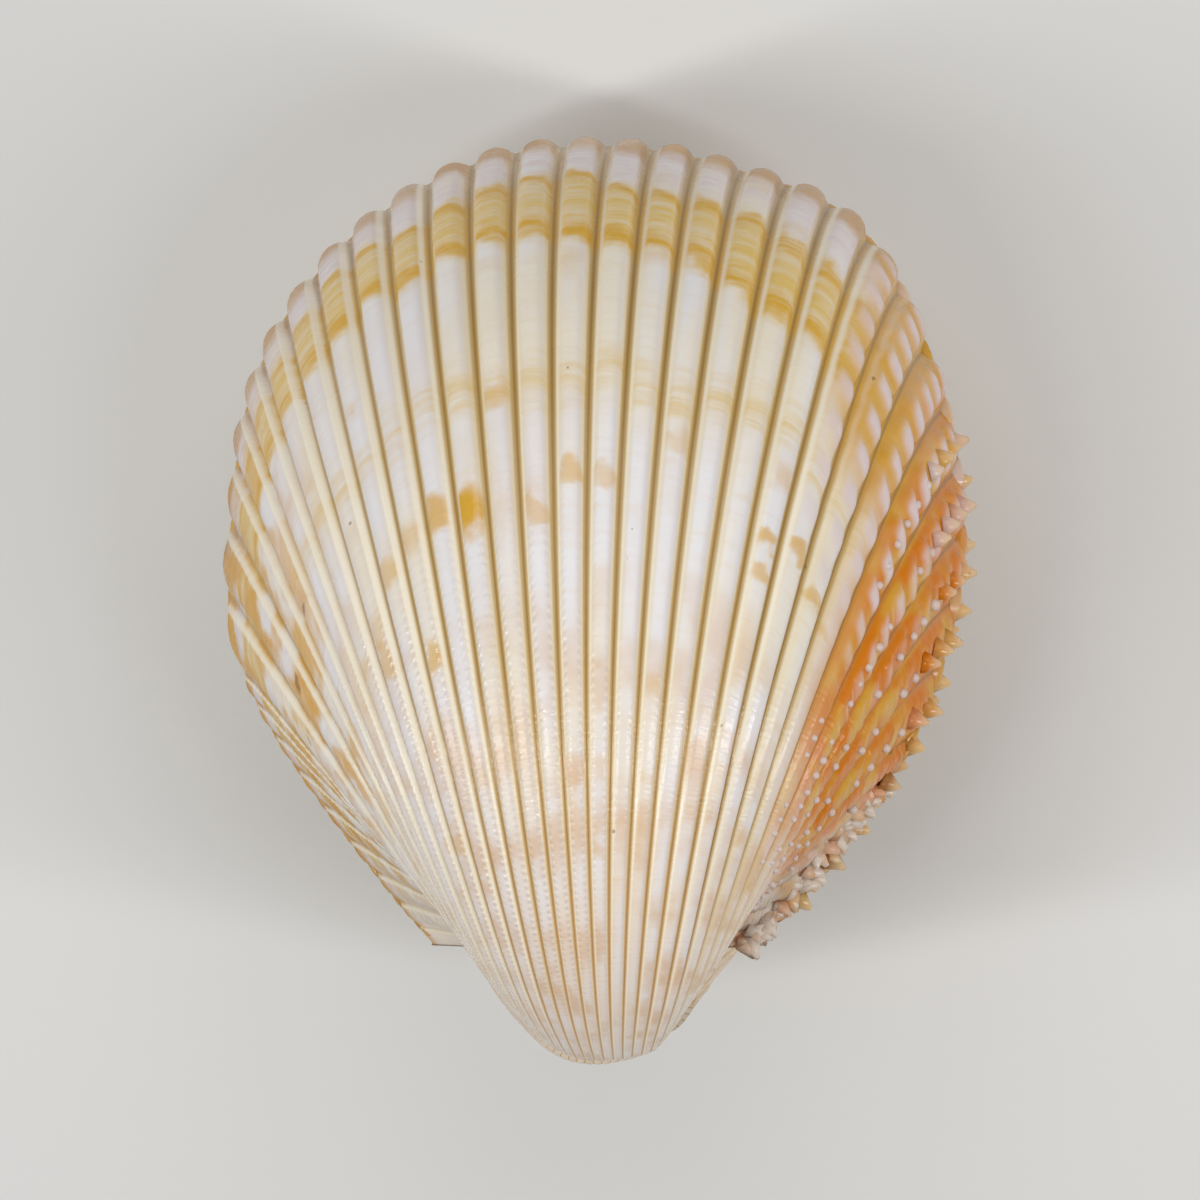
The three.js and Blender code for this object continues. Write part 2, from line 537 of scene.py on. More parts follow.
@dataclass(frozen=True)
class Reading:
    """What the markings read at a point of the shell, and the noises that their layers share."""

    rib: Output
    phase: Output
    whole: Output
    stage: Output
    where: Output
    fine: Output
    jitter: Output
    wobbly: Output
    streak: Output
    tall: Output
    seaward: Output

    @classmethod
    def take(cls, b: NodeBench, rib: Output, stage: Output, where: Output) -> Reading:
        """Work out what the layers share.

        Args:
            b: The group's bench.
            rib: Rib number over the surface.
            stage: Swing angle over the surface.
            where: Object coordinates.

        Returns:
            The readings.
        """
        whole = b.math("FLOOR", rib)
        in_front = b.math("LESS_THAN", rib, FRONT_FOLD[0])
        behind = b.math("GREATER_THAN", rib, REAR_FOLD[0])
        added = b.plus(b.times(in_front, FRONT_FOLD[1] - 1.0), b.times(behind, REAR_FOLD[1] - 1.0))
        phase = b.math("FRACT", b.times(rib, b.plus(1.0, added)))
        jitter = b.speckle(b.join(b.times(whole, 3.7), b.times(stage, 0.05)), 1.0)
        moved = b.shaken(stage, jitter, 6.0)
        fine = b.speckle(where, 420.0, 3.0)
        wobbly = b.shaken(moved, fine, 3.2)
        grain = b.join(b.times(rib, 0.4), b.times(stage, 1.3), 2.0)
        streak = b.speckle(grain, 1.0, 4.0, 0.6)
        tall = b.speckle(b.join(rib, b.times(stage, 0.13), 5.0), 1.0, 2.0)
        return cls(rib, phase, whole, stage, where, fine, jitter, wobbly, streak,
                   tall, b.band(rib, 0.3, 1.6))


@dataclass(frozen=True)
class ShellMarkings:
    """The shader node group with the shell's colours, gloss and fine relief.

    It reads the piece's own growth map: across it the rib number, up it the swing angle.
    """

    palette: ShellPalette = field(default_factory=ShellPalette)
    celled_ribs: tuple[float, float] = (22.6, 24.0)
    orange_ribs: tuple[float, float] = (24.6, 26.6)
    mottled_ribs: tuple[float, float] = (24.5, 27.0)
    crusty_ribs: tuple[float, float] = (30.8, 32.6)
    rim_stages: tuple[float, float] = (8.5, 4.8)
    yellow_stage: float = 15.6
    older_yellow_stage: float = 32.0
    bead_shrink: float = 0.9
    bead_travel: float = 0.011
    beads_per_travel: float = 1.35
    bead_height: float = 0.000045
    line_height: float = 0.00006
    grit_height: float = 0.00002
    ochre_share: float = 0.6

    def build(self) -> bpy.types.ShaderNodeTree:
        """Build the group.

        Returns:
            The group, with outputs Colour, Roughness and Height.
        """
        group = bpy.data.node_groups.new("shell_markings", "ShaderNodeTree")
        for name, kind, direction in (
                ("Ochre", "NodeSocketFloat", "INPUT"), ("Colour", "NodeSocketColor", "OUTPUT"),
                ("Roughness", "NodeSocketFloat", "OUTPUT"), ("Height", "NodeSocketFloat", "OUTPUT")):
            group.interface.new_socket(name=name, in_out=direction, socket_type=kind)
        b = NodeBench(group)
        amount = b.node("NodeGroupInput").outputs["Ochre"]
        parts = b.node("ShaderNodeSeparateXYZ")
        b.feed(parts.inputs[0], b.node("ShaderNodeUVMap", uv_map="growth").outputs[0])
        rib = b.times(parts.outputs[0], float(RIBS))
        stage = b.times(parts.outputs[1], HALF_TURN)
        where = b.node("ShaderNodeTexCoord").outputs["Object"]
        read = Reading.take(b, rib, stage, where)
        colour = self._body(b, read)
        colour, zone = self._bands(b, read, colour)
        colour, ground = self._slope(b, read, colour)
        colour = self._patches(b, read, colour)
        colour = self._grooves(b, read, colour, zone, ground)
        colour = self._knobs(b, colour)
        colour = self._wear(b, read, colour)
        colour = b.mix(b.times(amount, self.ochre_share), colour, self.palette.ochre)
        rough, height = self._surface(b, read)
        out = b.node("NodeGroupOutput")
        b.feed(out.inputs["Colour"], colour)
        b.feed(out.inputs["Roughness"], rough)
        b.feed(out.inputs["Height"], height)
        return group

    def _body(self, b: NodeBench, r: Reading) -> Output:
        """White, cream and peach that drift over the ribs, with streaks along the growth lines, cream
        rib sides that are partly painted light, and painted shade on the rib sides.

        Args:
            b: The group's bench.
            r: What the markings read.

        Returns:
            The output with the colour.
        """
        p = self.palette
        drift = b.speckle(b.join(b.times(r.rib, 0.6), b.times(r.stage, 0.055)), 1.0, 3.0)
        colour = b.mix(b.times(b.band(drift, 0.42, 0.66), 0.8), p.body, p.cream)
        aged = b.times(b.band(r.stage, 40.0, 110.0), b.band(drift, 0.3, 0.62, 0.4, 0.95))
        colour = b.mix(aged, colour, p.peach)
        pause = b.join(b.times(r.rib, 0.3), b.times(r.stage, 0.1), 6.0)
        halts = b.times(b.band(b.speckle(pause, 1.0, 3.0), 0.44, 0.68), b.band(
            r.stage, 30.0, 70.0, 0.12, 0.6))
        colour = b.mix(halts, colour, p.blush)
        worn = b.times(b.band(r.streak, 0.5, 0.75), b.band(r.stage, 14.0, 8.0, 0.16, 0.5))
        colour = b.mix(worn, colour, p.tan)
        # Cream on both sides of each rib: partly the shell's own cream, partly painted light standing
        # in for the brighter rounded walls
        shoulders = b.band(b.away(r.phase, 0.5), 0.16, 0.4)
        shoulders = b.times(shoulders, b.band(r.rib, 6.0, 13.0, 0.35, 0.75))
        colour = b.mix(shoulders, colour, p.shoulder_cream_and_light)
        # Painted shade: lilac-grey at three quarters across each rib, and over the first half of each
        # front rib, stands in for shade on their rounded sides
        painted_lee_shade = b.times(b.hump(r.phase, 0.74, 0.08, 0.12), b.band(r.rib, 7.0, 14.0, 0.1, 0.35))
        near = b.times(b.band(r.phase, 0.62, 0.2), b.band(r.rib, 14.0, 7.0, 0.0, 0.5))
        return b.mix(b.math("MAXIMUM", painted_lee_shade, near), colour, p.painted_rib_shade)

    def _bands(self, b: NodeBench, r: Reading, colour: Output) -> tuple[Output, Output]:
        """Yellow bands where growth slowed, and the tan rim.

        Args:
            b: The group's bench.
            r: What the markings read.
            colour: The colour so far.

        Returns:
            The outputs with the colour and with the mask of the widest band.
        """
        p = self.palette
        pale = b.times(b.hump(r.wobbly, 8.5, 3.0, 2.0), b.band(r.streak, 0.35, 0.6, 0.2, 0.75))
        colour = b.mix(pale, colour, p.lilac)
        late = b.times(b.hump(r.wobbly, self.older_yellow_stage, 1.4, 1.4), b.band(
            r.streak, 0.35, 0.65, 0.1, 0.55))
        colour = b.mix(b.times(late, r.seaward), colour, p.ochre)
        early = b.times(r.wobbly, b.band(r.rib, 15.0, 23.0, 1.0, 0.82))
        zone = b.times(b.hump(early, self.yellow_stage, 3.9, 1.0), b.band(
            r.streak, 0.32, 0.65, 0.5, 0.95))
        zone = b.times(zone, r.seaward)
        colour = b.mix(zone, colour, p.ochre)
        lines = b.plus(b.hump(early, 12.6, 0.6, 0.6), b.hump(early, 18.4, 0.7, 0.7))
        strong = b.times(b.math("MINIMUM", lines, 1.0), b.band(r.streak, 0.32, 0.6, 0.4, 0.9))
        colour = b.mix(b.times(strong, r.seaward), colour, p.gold)
        rim = b.times(b.band(r.wobbly, *self.rim_stages), b.band(r.jitter, 0.3, 0.7, 0.8, 1.0))
        return b.mix(rim, colour, p.rim), zone

    def _slope(self, b: NodeBench, r: Reading, colour: Output) -> tuple[Output, Output]:
        """The orange rear slope, with pale cells near the margin and pale scales beyond them.

        Args:
            b: The group's bench.
            r: What the markings read.
            colour: The colour so far.

        Returns:
            The outputs with the colour and with the share of orange.
        """
        p = self.palette
        fade = b.band(r.stage, 80.0, 42.0, 0.1, 1.0)
        rear = b.times(b.band(r.rib, *self.orange_ribs), fade)
        celled = b.band(r.rib, *self.celled_ribs)
        cells = b.times(celled, b.band(r.stage, 34.0, 24.0))
        ground = b.math("MAXIMUM", rear, b.times(cells, 0.85))
        share = b.times(b.band(r.tall, 0.34, 0.58), b.band(r.rib, *self.mottled_ribs))
        mottled = b.mix(share, p.yellow, p.orange)
        colour = b.mix(ground, colour, mottled)
        turn = b.math("MULTIPLY_ADD", r.whole, CELL_STEP, b.times(r.stage, CELLS_PER_DEGREE))
        beat = b.math("FRACT", b.shaken(turn, r.fine, 0.25))
        cell = b.times(b.hump(r.phase, 0.52, 0.24, 0.12), b.hump(beat, 0.5, 0.24, 0.16))
        cell = b.times(cell, b.times(celled, b.band(r.rib, 29.0, 26.5, 0.15, 0.92)))
        colour = b.mix(b.times(cell, b.band(r.stage, 46.0, 30.0)), colour, p.lilac)
        overlap = b.math("DIVIDE", r.stage, SCALE_SPACING)
        scale = b.math("FRACT", b.math("MULTIPLY_ADD", r.whole, SCALE_STEP, overlap))
        crest = b.times(b.band(scale, 0.34, 0.04), b.hump(r.phase, 0.5, 0.16, 0.14))
        crest = b.times(crest, b.band(r.rib, 26.2, 27.6))
        colour = b.mix(b.times(crest, 0.6), colour, p.tooth)
        crusty = b.times(b.band(r.rib, *self.crusty_ribs), b.band(r.fine, 0.3, 0.6, 0.35, 0.9))
        crusty = b.times(crusty, b.band(r.stage, 4.0, 16.0, 0.6, 1.0))
        return b.mix(crusty, colour, p.crust), ground

    def _patches(self, b: NodeBench, r: Reading, colour: Output) -> Output:
        """Ochre patches on the front ribs, and short yellow blotches on single ribs.

        Args:
            b: The group's bench.
            r: What the markings read.
            colour: The colour so far.

        Returns:
            The output with the colour.
        """
        p = self.palette
        front = b.times(b.band(r.rib, 9.5, 4.5), r.seaward)
        patch = b.times(b.band(r.tall, 0.42, 0.6), front)
        patch = b.times(patch, b.band(r.stage, 75.0, 38.0, 0.2, 0.95))
        colour = b.mix(patch, colour, p.yellow)
        column = b.join(b.times(r.whole, 5.3), b.times(r.stage, 0.2), 9.0)
        ragged = b.shaken(b.speckle(column, 1.0, 1.0), r.fine, 0.3)
        off = b.shaken(r.phase, r.fine, 0.9)
        here = b.times(b.band(ragged, 0.58, 0.8), b.band(r.stage, 95.0, 70.0))
        here = b.times(here, b.hump(off, 0.5, 0.33, 0.14))
        colour = b.mix(b.times(here, 0.4), colour, p.gold)
        return b.mix(self._stains(b, r, YELLOW_BLOTCHES), colour, p.gold)

    def _stains(self, b: NodeBench, r: Reading, stains: tuple[Blotch, ...]) -> Output:
        """Put several stains together, with ragged edges.

        Args:
            b: The group's bench.
            r: What the markings read.
            stains: The stains.

        Returns:
            The output with the mask of them all.
        """
        rib = b.shaken(r.rib, r.fine, 0.8)
        stage = b.shaken(r.stage, r.fine, 4.0)
        total = stains[0].mask(b, rib, stage)
        for stain in stains[1:]:
            total = b.math("MAXIMUM", total, stain.mask(b, rib, stage))
        return total

    def _grooves(self, b: NodeBench, r: Reading, colour: Output, zone: Output,
                 ground: Output) -> Output:
        """The grooves between the ribs, the cream line beside them, which is a painted highlight,
        painted shade in the groove floors, and the lunule.

        Args:
            b: The group's bench.
            r: What the markings read.
            colour: The colour so far.
            zone: Mask of the widest yellow band.
            ground: Share of orange.

        Returns:
            The output with the colour.
        """
        p = self.palette
        # Painted highlight: a bright cream line along the rib wall that faces the lamps, near the
        # rear side of the front ribs and near the front side from rib 13 on
        side = b.band(r.rib, 12.9, 13.1, 0.86, 0.14)
        line = b.band(b.away(r.phase, side), 0.02, 0.09, 1.0, 0.0)
        colour = b.mix(b.times(b.times(line, 0.8), b.band(r.rib, 24.6, 23.4)), colour, p.painted_wall_highlight)
        tint = b.mix(b.band(r.stage, 45.0, 110.0), p.groove, p.blush)
        rear = b.mix(b.band(r.rib, *self.mottled_ribs), p.yellow, p.orange)
        tint = b.mix(b.times(ground, 0.85), tint, rear)
        tint = b.mix(b.times(zone, 0.7), tint, p.gold)
        front = b.band(r.rib, 14.0, 7.0)
        off = b.away(r.phase, 0.5)
        start = b.math("MULTIPLY_ADD", front, 0.07, 0.35)
        wall = b.band(off, start, b.plus(start, 0.08))
        wall = b.times(wall, b.math("MULTIPLY_ADD", front, -0.55, 0.9))
        wall = b.times(wall, b.band(r.rib, 32.0, 31.0, 0.25, 1.0))
        colour = b.mix(wall, colour, tint)
        # Painted shade: dark brown in the floor of each groove, where the recess between the ribs
        # lies in shade
        floor = b.times(b.band(off, 0.43, 0.49), b.band(r.stage, 60.0, 120.0, 0.65, 0.45))
        colour = b.mix(b.times(floor, b.math("MULTIPLY_ADD", front, -0.5, 1.0)), colour, p.depth)
        lunule = b.times(b.minus(1.0, r.seaward), 0.5)
        return b.mix(lunule, colour, b.mix(b.band(r.stage, 1.0, 7.0), p.tan, p.cream))

    def _knobs(self, b: NodeBench, colour: Output) -> Output:
        """Pale tips on the teeth, lilac beads and grey crusty nodules.

        Args:
            b: The group's bench.
            colour: The colour so far.

        Returns:
            The output with the colour.
        """
        p = self.palette
        knob = b.node("ShaderNodeAttribute", attribute_name="knob").outputs["Fac"]
        tip = b.hump(knob, Knob.TOOTH_TIP.value, 0.1, 0.1)
        flake = b.hump(knob, Knob.PALE_FLAKE.value, 0.06, 0.02)
        colour = b.mix(b.times(tip, 0.85), colour, p.tooth)
        colour = b.mix(b.times(flake, 0.8), colour, p.crust)
        return b.mix(b.times(b.band(knob, 0.85, 0.95), 0.85), colour, p.bead)

    def _wear(self, b: NodeBench, r: Reading, colour: Output) -> Output:
        """Worn, chalky scars and small brown specks.

        Args:
            b: The group's bench.
            r: What the markings read.
            colour: The colour so far.

        Returns:
            The output with the colour.
        """
        scar = b.times(b.band(b.speckle(r.where, 95.0, 3.0), 0.68, 0.74), b.band(r.stage, 20.0, 45.0))
        colour = b.mix(b.times(scar, 0.6), colour, self.palette.blush)
        colour = b.mix(self._stains(b, r, CHALKY_SCARS), colour, self.palette.blush)
        colour = b.mix(self._stains(b, r, BROWN_PITS), colour, self.palette.speck)
        specks = b.band(b.speckle(r.where, 900.0, 1.0), 0.8, 0.83)
        return b.mix(b.times(specks, 0.6), colour, self.palette.speck)

    def _surface(self, b: NodeBench, r: Reading) -> tuple[Output, Output]:
        """Gloss and fine relief.

        Args:
            b: The group's bench.
            r: What the markings read.

        Returns:
            The outputs with the roughness and the height in metres.
        """
        rough = b.band(b.speckle(r.where, 150.0, 3.0), 0.35, 0.72, 0.15, 0.36)
        # Beads on the shoulders of the ribs, finer toward the beak
        swing = b.times(r.stage, math.radians(1.0))
        shrunk = b.math("LOGARITHM", b.math("MULTIPLY_ADD", swing, self.bead_shrink, 1.0), math.e)
        travel = b.math("DIVIDE", shrunk, self.bead_travel)
        shifted = b.plus(travel, b.times(r.rib, 0.35))
        bead = b.math("SINE", b.times(shifted, math.tau * self.beads_per_travel))
        beaded = b.times(b.band(r.rib, 3.0, 7.0), b.band(r.rib, 19.0, 15.0, 0.15, 1.0))
        beaded = b.times(b.times(beaded, b.band(r.stage, 34.0, 55.0)), b.band(
            r.stage, 120.0, 85.0, 0.25, 1.0))
        shoulders = b.plus(b.hump(r.phase, 0.26, 0.08, 0.06), b.hump(r.phase, 0.74, 0.08, 0.06))
        strength = b.times(b.times(beaded, shoulders), self.bead_height)
        lines = b.speckle(b.join(0.0, b.times(r.stage, 2.2)), 1.0, 3.0)
        height = b.times(bead, strength)
        height = b.plus(height, b.times(lines, self.line_height))
        grit = b.speckle(r.where, 900.0, 3.0)
        return rough, b.plus(height, b.times(grit, self.grit_height))


@dataclass(frozen=True)
class ShellFinish:
    """The glossy finish of one valve."""

    name: str
    markings: bpy.types.ShaderNodeTree
    ochre: float = 0.0
    bump: float = 0.7
    refraction: float = 1.5
    shine: float = 0.36
    clear_coat: float = 0.08
    coat_roughness: float = 0.09

    def material(self) -> bpy.types.Material:
        """Build the valve's material.

        Returns:
            The material.
        """
        made, b = start_material(self.name)
        markings = b.node("ShaderNodeGroup", node_tree=self.markings)
        markings.inputs["Ochre"].default_value = self.ochre
        colour, roughness, height = markings.outputs
        shader = b.surface(colour, roughness, height, self.bump, 1.0)
        shader.inputs["IOR"].default_value = self.refraction
        shader.inputs["Specular IOR Level"].default_value = self.shine
        shader.inputs["Coat Weight"].default_value = self.clear_coat
        shader.inputs["Coat Roughness"].default_value = self.coat_roughness
        return made


@dataclass(frozen=True)
class LigamentFinish:
    """Dried brown protein, cracked along its length."""

    name: str = "ligament"
    dark: Colour = (58, 34, 22)
    light: Colour = (112, 70, 42)
    crack_depth: float = 0.0003

    def material(self) -> bpy.types.Material:
        """Build the material.

        Returns:
            The material.
        """
        made, b = start_material(self.name)
        grain = b.speckle(b.node("ShaderNodeTexCoord").outputs["Object"], 900.0, 4.0)
        colour = b.mix(grain, self.dark, self.light)
        b.surface(colour, b.band(grain, 0.3, 0.7, 0.45, 0.7), grain, 1.0, self.crack_depth)
        return made


@dataclass
class Valve:
    """One valve: a ribbed horn over a plain hollow, grown as one piece."""

    side: Side
    growth: Growth
    pose: Matrix
    rib_height: float = 0.95
    smooth_beak: float = 0.6
    tuck: float = 0.05
    lean: float = 1.1
    tuck_stages: tuple[float, float] = (50.0, 110.0)
    rib_phases: tuple[float, ...] = (
        0.0, 0.055, 0.1, 0.14, 0.18, 0.23, 0.31, 0.42, 0.58, 0.69, 0.77, 0.82, 0.86, 0.9, 0.945)
    folded_columns: int = 18
    hinge_columns: int = 6
    outside_rows: int = 146
    row_step: float = 0.25
    last_stage: float = 171.0
    lip_height: float = 0.75
    knobbed_lip: float = 0.35
    lip_stages: tuple[float, ...] = (0.0, 0.12, 0.3, 0.6, 1.0, 1.5, 2.1, 2.8)
    weave: float = 0.45
    gap: float = 0.15
    hollow_scale: float = 0.935
    hollow_centre: tuple[float, float] = (-1.5, 31.0)
    hollow_stages: tuple[float, ...] = (0.0, 6, 14, 26, 40, 56, 72, 88, 102, 118)
    hollow_thickening: float = 0.06
    thickened_by: float = 80.0
    spined_ribs: range = range(26, 34)
    tooth_radius: float = 1.2
    tooth_height: float = 1.7
    tooth_stages: float = 14.0
    first_tooth: float = 2.5
    knob_step: float = 0.5
    knobs_end: float = 0.985
    bead_radius: float = 0.42
    last_bead: float = 72.0
    spine_spacing: float = 2.3
    bead_share: float = 0.1
    crust_start: float = 0.93
    crust_flakes: int = 70
    crust_radius: float = 0.78
    crust_seed: int = 17
    crust_end: float = 0.998
    crust_stages: tuple[float, ...] = (0.8, 2.5, 5.0, 9.0, 14.0)
    margin_points: dict[float, tuple[Vector, Vector]] = field(default_factory=dict)
    sizes: dict[float, float] = field(default_factory=dict)

    @property
    def shift(self) -> float:
        """How far this valve's ribs stand from the right valve's, in ribs."""
        return 0.0 if self.side is Side.RIGHT else 0.5

    def build(self) -> bpy.types.Object:
        """Build the valve.

        Returns:
            The finished object, in place.
        """
        mesh = bmesh.new()
        columns, rows = self._columns(), self._rows()
        self._survey(columns, rows)
        bmesh.ops.create_grid(mesh, x_segments=len(columns) - 1, y_segments=len(rows) - 1, size=1.0)
        layer = mesh.loops.layers.uv.new("growth")
        mesh.verts.layers.float.new("knob")
        wide, tall = len(columns) - 1, len(rows) - 1
        for vert in mesh.verts:
            i = round((vert.co.x + 1.0) * 0.5 * wide)
            j = round((vert.co.y + 1.0) * 0.5 * tall)
            vert.co = self._place(columns[i], rows[j])
            vert.index = j * (wide + 1) + i
        for face in mesh.faces:
            for loop in face.loops:
                j, i = divmod(loop.vert.index, wide + 1)
                _, degrees = rows[j]
                loop[layer].uv = self._chart(columns[i][0], degrees)
        bmesh.ops.remove_doubles(mesh, verts=mesh.verts, dist=1e-4)
        bmesh.ops.recalc_face_normals(mesh, faces=mesh.faces)
        self._add_knobs(mesh)
        if self.side is Side.LEFT:
            bmesh.ops.scale(mesh, vec=(1.0, 1.0, -1.0), verts=mesh.verts)
            bmesh.ops.recalc_face_normals(mesh, faces=mesh.faces)
        bmesh.ops.scale(mesh, vec=(MM, MM, MM), verts=mesh.verts)
        bmesh.ops.transform(mesh, matrix=self.pose, verts=mesh.verts)
        return finish_mesh(mesh, f"{self.side.value}_valve_shell")

    def _chart(self, place: float, degrees: float) -> tuple[float, float]:
        """Where a point of the shell lies on the growth map."""
        return place - self.shift / RIBS, degrees / HALF_TURN

    def _survey(self, columns: list[tuple[float, float]], rows: list[tuple[bool, float]]) -> None:
        """Look up the margin under each column and the size at each row, once.

        Args:
            columns: Columns of the grid.
            rows: Rows of the grid.
        """
        for place, _ in columns:
            point = self.growth.outline(place)
            self.margin_points[place] = (point, self.growth.outline(place, 1.0) - point)
        for _, degrees in rows:
            self.sizes[degrees] = self.growth.size(degrees)

    def _columns(self) -> list[tuple[float, float]]:
        """List the columns of the grid, from the front of the hinge round the margin and back.

        Returns:
            Each column's place on the margin and its share of the way across the hinge.
        """
        even = tuple(k / self.folded_columns for k in range(self.folded_columns))
        places = []
        for rib in range(-1, RIBS):
            folded = rib < FRONT_FOLD[0] or rib >= REAR_FOLD[0]
            for phase in even if folded else self.rib_phases:
                place = (rib + phase + self.shift) / RIBS
                if 0.0 < place < 1.0:
                    places.append((place, 0.0))
        across = [(1.0, k / self.hinge_columns) for k in range(self.hinge_columns + 1)]
        return [(0.0, 0.0)] + places + across

    def _rows(self) -> list[tuple[bool, float]]:
        """List the rows of the grid, from the beak over the margin to the hollow's end.

        Returns:
            For each row, whether it is on the outside, and its swing angle.
        """
        stages, lengths = [self.lip_stages[-1]], [0.0]
        while stages[-1] < self.last_stage:
            degrees = stages[-1] + self.row_step
            size = self.growth.size(degrees)
            lengths.append(lengths[-1] + size ** 0.7)
            stages.append(degrees)
        picked = []
        for k in range(1, self.outside_rows + 1):
            target = lengths[-1] * k / self.outside_rows
            picked.append(stages[min(bisect_left(lengths, target), len(stages) - 1)])
        outside = [(True, degrees) for degrees in reversed(list(self.lip_stages) + picked)]
        hollow = [(False, degrees) for degrees in self.hollow_stages]
        return [(True, HALF_TURN)] + outside + hollow + [(False, HALF_TURN)]

    def _relief(self, place: float, degrees: float) -> float:
        """Height of the ribs over the plain margin.

        Args:
            place: Place on the margin.
            degrees: Swing angle.

        Returns:
            The height in millimetres on a shell of today's size.
        """
        rib = place * RIBS - self.shift
        split = FRONT_FOLD[1] if rib < FRONT_FOLD[0] else 1.0
        if rib > REAR_FOLD[0]:
            split = REAR_FOLD[1]
        phase = rib * split % 1.0
        near = min(phase, 1.0 - phase)
        steep = 0.12 * smooth(14.0, 7.0, rib) if phase > 0.5 else 0.0
        profile = smooth(0.04, 0.27 - steep, near) * (0.66 + 0.34 * math.sin(math.pi * phase))
        scallop = 0.85 * smooth(7.0, 1.0, degrees)
        profile += (math.sin(math.pi * phase) ** 1.1 - profile) * scallop
        mild = 0.5 + 0.5 * smooth(2.0, 9.0, rib) * smooth(30.0, 24.0, rib)
        height = self.rib_height * mild * profile / math.sqrt(split)
        height *= 1.0 - self.smooth_beak * smooth(95.0, 140.0, degrees)
        front = smooth(9.0, 4.0, rib)
        if front > 0.0:
            height += 0.06 * front * profile * math.sin(math.tau * (degrees / 1.7 + phase))
        rear = smooth(22.5, 24.0, rib) * smooth(30.0, 27.5, rib) * smooth(45.0, 25.0, degrees)
        if rear > 0.0:
            beat = degrees * CELLS_PER_DEGREE + CELL_STEP * math.floor(rib)
            height -= 0.22 * rear * profile * math.cos(math.tau * beat)
        scaled = smooth(26.0, 28.0, rib) * smooth(90.0, 60.0, degrees)
        if scaled > 0.0:
            overlap = (degrees / SCALE_SPACING + SCALE_STEP * math.floor(rib)) % 1.0
            height += 0.34 * scaled * profile * (1.0 - overlap) ** 2
        if rib > 30.0:
            rough = abs(noise_at(rib * 2.6, degrees * 0.7, 13.0))
            height += 0.5 * rough * smooth(30.0, 31.5, rib) * smooth(80.0, 50.0, degrees)
        height += 0.03 * noise_at(degrees * 0.35, 0.0, 3.0) * profile
        height += 0.05 * noise_at(rib * 0.9, degrees * 0.12, 7.0)
        ends = smooth(0.0, 0.02, place) * smooth(1.0, 0.98, place)
        return height * ends

    def _place(self, column: tuple[float, float], row: tuple[bool, float]) -> Vector:
        """Where a point of the grid goes.

        Args:
            column: Place on the margin and share across the hinge.
            row: Outside or hollow, and swing angle.

        Returns:
            The point in the growth frame, in millimetres.
        """
        (place, across), (outside, degrees) = column, row
        if outside and degrees > self.last_stage:
            return self._tucked(self._ring_middle(self.last_stage, True), 1.0)
        if not outside and degrees > self.hollow_stages[-1]:
            return self._ring_middle(self.hollow_stages[-1], False)
        if outside:
            base, outward = self.margin_points[place]
            height = self._relief(place, degrees)
            size = self.sizes[degrees]
            if across == 0.0 and degrees < self.lip_stages[-1]:
                away = 1.0 - degrees / self.lip_stages[-1]
                rounding = 1.0 - math.sqrt(max(1.0 - away * away, 0.0))
                height -= rounding * self._lip_drop(place)
            point = base + outward * height
        else:
            point = self._hollow_point(place)
            thickened = min(degrees / self.thickened_by, 1.0)
            size = self.sizes[degrees] * (1.0 - self.hollow_thickening * thickened)
        if across > 0.0:
            start = self.margin_points[1.0][0] if outside else self._hollow_point(1.0)
            stop = self.margin_points[0.0][0] if outside else self._hollow_point(0.0)
            point = start.lerp(stop, across)
        where = self.growth.carry(point, degrees, size)
        if outside:
            where = self._tucked(where, smooth(*self.tuck_stages, degrees))
        floor = self._commissure(place, across)
        where.z = floor if degrees == 0.0 else max(where.z, floor)
        return where

    def _tucked(self, point: Vector, share: float) -> Vector:
        """Tuck a point of the left valve's beak in behind the right valve's.

        Args:
            point: The point in the growth frame.
            share: How much of the tuck it takes, from 0 to 1.

        Returns:
            The tucked point, or on the right valve the point itself.
        """
        if self.side is Side.RIGHT:
            return point
        moved = point * (1.0 - self.tuck * share)
        moved.x -= self.lean * share
        return moved

    def _lip_drop(self, place: float) -> float:
        """Find how far the margin rounds inward at its very edge.

        Args:
            place: Place on the margin.

        Returns:
            The drop in millimetres.
        """
        knobbed = smooth(0.66, 0.74, place)
        drop = self.lip_height if self.side is Side.RIGHT else self.lip_height * 1.9
        return drop + (self.knobbed_lip - drop) * knobbed

    def _commissure(self, place: float, across: float) -> float:
        """Find how low this valve may reach toward the plane between the valves.

        Args:
            place: Place on the margin.
            across: Share across the hinge.

        Returns:
            The height in millimetres, which weaves from rib to rib.
        """
        if across > 0.0:
            return self.gap
        rib = place * RIBS - self.shift
        calm = smooth(0.0, 0.08, place) * smooth(1.0, 0.92, place)
        return self.gap + self.weave * calm * math.cos(math.tau * rib)

    def _hollow_point(self, place: float) -> Vector:
        """A point of the hollow's outline, in the plane of the margin."""
        centre = Vector(self.hollow_centre)
        return (self.margin_points[place][0] - centre) * self.hollow_scale + centre

    def _ring_middle(self, degrees: float, outside: bool) -> Vector:
        """Find the middle of a ring, where the horn or the hollow closes.

        Args:
            degrees: Swing angle of the ring.
            outside: True for the horn, False for the hollow.

        Returns:
            The point in the growth frame, in millimetres.
        """
        size = self.growth.size(degrees)
        if not outside:
            size *= 1.0 - self.hollow_thickening
        return self.growth.carry(Vector(self.hollow_centre), degrees, size)

